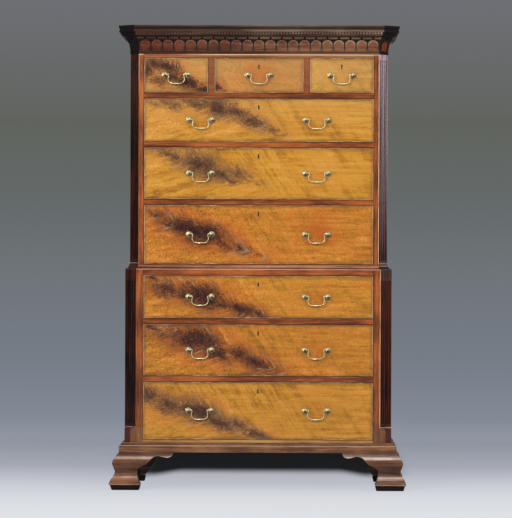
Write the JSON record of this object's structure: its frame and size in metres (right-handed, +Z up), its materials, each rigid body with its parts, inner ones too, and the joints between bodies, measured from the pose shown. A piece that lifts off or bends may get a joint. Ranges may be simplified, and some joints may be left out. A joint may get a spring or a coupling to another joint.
{
  "type": "tallboy",
  "caption": "Tall chest of drawers standing on a wider one, with canted fluted corners, dentil cornice, brass swan-neck handles and ogee bracket feet.",
  "frame": {"origin": "on the floor, under the middle of the bounding box", "axes": "+Z up; the drawers open towards -Y; +X to the viewer's right, who faces the drawers"},
  "size_m": [1.179, 0.6036, 1.845],
  "materials": {
    "mahogany": "polished mahogany, satin",
    "figured_mahogany": "crotch-figured mahogany veneer, french polished",
    "dark_mahogany": "dark mahogany, french polished",
    "oak": "oak, planed and unfinished",
    "pine": "pine, aged and unfinished",
    "brass": "cast brass, polished and lightly tarnished"
  },
  "bodies": {
    "carcase": {"foot_front_left": "mahogany", "foot_rear_left": "mahogany", "lower_side_left": "mahogany", "upper_side_left": "mahogany", "lower_post_left": "dark_mahogany", "upper_post_left": "dark_mahogany", "foot_front_right": "mahogany", "foot_rear_right": "mahogany", "lower_side_right": "mahogany", "upper_side_right": "mahogany", "lower_post_right": "dark_mahogany", "upper_post_right": "dark_mahogany", "base_moulding": "mahogany", "cornice": "mahogany", "lower_top_board": "mahogany", "upper_top_rail": "mahogany", "lower_bottom_board": "mahogany", "upper_bottom_board": "mahogany", "lower_dustboard_1": "mahogany", "lower_dustboard_2": "mahogany", "upper_dustboard_1": "mahogany", "upper_dustboard_2": "mahogany", "upper_dustboard_3": "mahogany", "frieze": "dark_mahogany", "lower_back": "pine", "upper_back": "pine", "upper_top_board": "pine"},
    "lower_drawer_3": {"lower_drawer_3_front": "figured_mahogany", "lower_drawer_3_box": "oak"},
    "lower_drawer_3_bail_left": {"lower_drawer_3_bail_left": "brass"},
    "lower_drawer_3_bail_right": {"lower_drawer_3_bail_right": "brass"},
    "lower_drawer_2": {"lower_drawer_2_front": "figured_mahogany", "lower_drawer_2_box": "oak"},
    "lower_drawer_2_bail_left": {"lower_drawer_2_bail_left": "brass"},
    "lower_drawer_2_bail_right": {"lower_drawer_2_bail_right": "brass"},
    "lower_drawer_1": {"lower_drawer_1_front": "figured_mahogany", "lower_drawer_1_box": "oak"},
    "lower_drawer_1_bail_left": {"lower_drawer_1_bail_left": "brass"},
    "lower_drawer_1_bail_right": {"lower_drawer_1_bail_right": "brass"},
    "upper_drawer_3": {"upper_drawer_3_front": "figured_mahogany", "upper_drawer_3_box": "oak"},
    "upper_drawer_3_bail_left": {"upper_drawer_3_bail_left": "brass"},
    "upper_drawer_3_bail_right": {"upper_drawer_3_bail_right": "brass"},
    "upper_drawer_2": {"upper_drawer_2_front": "figured_mahogany", "upper_drawer_2_box": "oak"},
    "upper_drawer_2_bail_left": {"upper_drawer_2_bail_left": "brass"},
    "upper_drawer_2_bail_right": {"upper_drawer_2_bail_right": "brass"},
    "upper_drawer_1": {"upper_drawer_1_front": "figured_mahogany", "upper_drawer_1_box": "oak"},
    "upper_drawer_1_bail_left": {"upper_drawer_1_bail_left": "brass"},
    "upper_drawer_1_bail_right": {"upper_drawer_1_bail_right": "brass"},
    "short_drawer_left": {"short_drawer_left_front": "figured_mahogany", "short_drawer_left_box": "oak"},
    "short_drawer_left_bail": {"short_drawer_left_bail": "brass"},
    "short_drawer_middle": {"short_drawer_middle_front": "figured_mahogany", "short_drawer_middle_box": "oak"},
    "short_drawer_middle_bail": {"short_drawer_middle_bail": "brass"},
    "short_drawer_right": {"short_drawer_right_front": "figured_mahogany", "short_drawer_right_box": "oak"},
    "short_drawer_right_bail": {"short_drawer_right_bail": "brass"}
  },
  "joints": [
    {"name": "lower_drawer_3_slide", "type": "slide", "parent": "carcase", "child": "lower_drawer_3", "axis": [0, -1, 0], "range_m": [0, 0.37]},
    {"name": "lower_drawer_3_bail_left_hinge", "type": "hinge", "parent": "lower_drawer_3", "child": "lower_drawer_3_bail_left", "pos_m": [-0.231, -0.25825, 0.3137], "axis": [-1, 0, 0], "range_deg": [-12, 190]},
    {"name": "lower_drawer_3_bail_right_hinge", "type": "hinge", "parent": "lower_drawer_3", "child": "lower_drawer_3_bail_right", "pos_m": [0.231, -0.25825, 0.3137], "axis": [-1, 0, 0], "range_deg": [-12, 190]},
    {"name": "lower_drawer_2_slide", "type": "slide", "parent": "carcase", "child": "lower_drawer_2", "axis": [0, -1, 0], "range_m": [0, 0.37]},
    {"name": "lower_drawer_2_bail_left_hinge", "type": "hinge", "parent": "lower_drawer_2", "child": "lower_drawer_2_bail_left", "pos_m": [-0.231, -0.25825, 0.5547], "axis": [-1, 0, 0], "range_deg": [-12, 190]},
    {"name": "lower_drawer_2_bail_right_hinge", "type": "hinge", "parent": "lower_drawer_2", "child": "lower_drawer_2_bail_right", "pos_m": [0.231, -0.25825, 0.5547], "axis": [-1, 0, 0], "range_deg": [-12, 190]},
    {"name": "lower_drawer_1_slide", "type": "slide", "parent": "carcase", "child": "lower_drawer_1", "axis": [0, -1, 0], "range_m": [0, 0.37]},
    {"name": "lower_drawer_1_bail_left_hinge", "type": "hinge", "parent": "lower_drawer_1", "child": "lower_drawer_1_bail_left", "pos_m": [-0.231, -0.25825, 0.7662], "axis": [-1, 0, 0], "range_deg": [-12, 190]},
    {"name": "lower_drawer_1_bail_right_hinge", "type": "hinge", "parent": "lower_drawer_1", "child": "lower_drawer_1_bail_right", "pos_m": [0.231, -0.25825, 0.7662], "axis": [-1, 0, 0], "range_deg": [-12, 190]},
    {"name": "upper_drawer_3_slide", "type": "slide", "parent": "carcase", "child": "upper_drawer_3", "axis": [0, -1, 0], "range_m": [0, 0.37]},
    {"name": "upper_drawer_3_bail_left_hinge", "type": "hinge", "parent": "upper_drawer_3", "child": "upper_drawer_3_bail_left", "pos_m": [-0.231, -0.23975, 1.0143], "axis": [-1, 0, 0], "range_deg": [-12, 190]},
    {"name": "upper_drawer_3_bail_right_hinge", "type": "hinge", "parent": "upper_drawer_3", "child": "upper_drawer_3_bail_right", "pos_m": [0.231, -0.23975, 1.0143], "axis": [-1, 0, 0], "range_deg": [-12, 190]},
    {"name": "upper_drawer_2_slide", "type": "slide", "parent": "carcase", "child": "upper_drawer_2", "axis": [0, -1, 0], "range_m": [0, 0.37]},
    {"name": "upper_drawer_2_bail_left_hinge", "type": "hinge", "parent": "upper_drawer_2", "child": "upper_drawer_2_bail_left", "pos_m": [-0.231, -0.23975, 1.2573], "axis": [-1, 0, 0], "range_deg": [-12, 190]},
    {"name": "upper_drawer_2_bail_right_hinge", "type": "hinge", "parent": "upper_drawer_2", "child": "upper_drawer_2_bail_right", "pos_m": [0.231, -0.23975, 1.2573], "axis": [-1, 0, 0], "range_deg": [-12, 190]},
    {"name": "upper_drawer_1_slide", "type": "slide", "parent": "carcase", "child": "upper_drawer_1", "axis": [0, -1, 0], "range_m": [0, 0.37]},
    {"name": "upper_drawer_1_bail_left_hinge", "type": "hinge", "parent": "upper_drawer_1", "child": "upper_drawer_1_bail_left", "pos_m": [-0.231, -0.23975, 1.4693], "axis": [-1, 0, 0], "range_deg": [-12, 190]},
    {"name": "upper_drawer_1_bail_right_hinge", "type": "hinge", "parent": "upper_drawer_1", "child": "upper_drawer_1_bail_right", "pos_m": [0.231, -0.23975, 1.4693], "axis": [-1, 0, 0], "range_deg": [-12, 190]},
    {"name": "short_drawer_left_slide", "type": "slide", "parent": "carcase", "child": "short_drawer_left", "axis": [0, -1, 0], "range_m": [0, 0.37]},
    {"name": "short_drawer_left_bail_hinge", "type": "hinge", "parent": "short_drawer_left", "child": "short_drawer_left_bail", "pos_m": [-0.329, -0.23975, 1.6473], "axis": [-1, 0, 0], "range_deg": [-12, 190]},
    {"name": "short_drawer_middle_slide", "type": "slide", "parent": "carcase", "child": "short_drawer_middle", "axis": [0, -1, 0], "range_m": [0, 0.37]},
    {"name": "short_drawer_middle_bail_hinge", "type": "hinge", "parent": "short_drawer_middle", "child": "short_drawer_middle_bail", "pos_m": [0, -0.23975, 1.6473], "axis": [-1, 0, 0], "range_deg": [-12, 190]},
    {"name": "short_drawer_right_slide", "type": "slide", "parent": "carcase", "child": "short_drawer_right", "axis": [0, -1, 0], "range_m": [0, 0.37]},
    {"name": "short_drawer_right_bail_hinge", "type": "hinge", "parent": "short_drawer_right", "child": "short_drawer_right_bail", "pos_m": [0.329, -0.23975, 1.6473], "axis": [-1, 0, 0], "range_deg": [-12, 190]}
  ]
}
